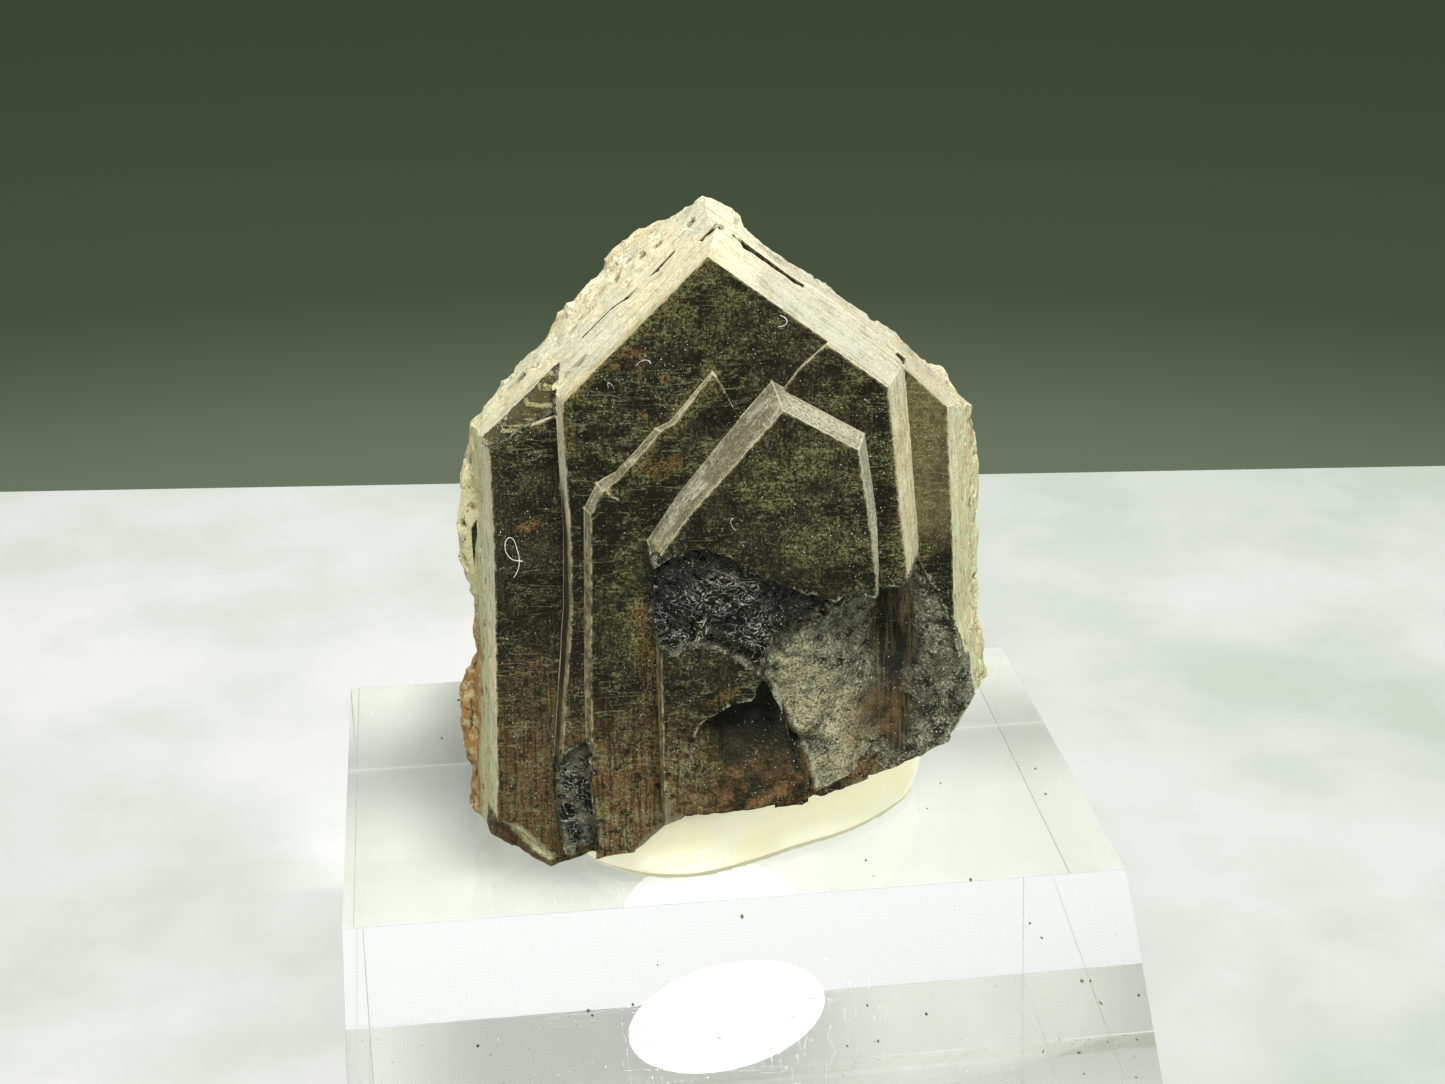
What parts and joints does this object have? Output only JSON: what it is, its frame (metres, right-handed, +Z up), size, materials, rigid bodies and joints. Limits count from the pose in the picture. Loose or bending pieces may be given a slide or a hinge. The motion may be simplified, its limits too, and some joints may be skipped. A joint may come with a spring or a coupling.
{
  "type": "euxenite crystal specimen",
  "caption": "Dark tabular mineral crystal with stepped gabled terraces, set with pale putty on a clear block with a sloped front.",
  "frame": {"origin": "middle of the underside of the display block", "axes": "+Z up from the block's underside; -Y towards the sloped front, which the large crystal face looks over; +X to the right as seen from the front"},
  "size_m": [0.05, 0.05, 0.0605],
  "materials": {
    "euxenite": "dark brown-black faces with a dull gloss, pale dusty growth edges, rough tan and glassy broken places",
    "mineral_tack": "pale yellow putty with a soft gloss",
    "clear_acrylic": "polished clear acrylic with fine scratches"
  },
  "bodies": {
    "root": {"crystal": "euxenite", "mineral_tack": "mineral_tack", "display_block": "clear_acrylic"}
  },
  "joints": []
}
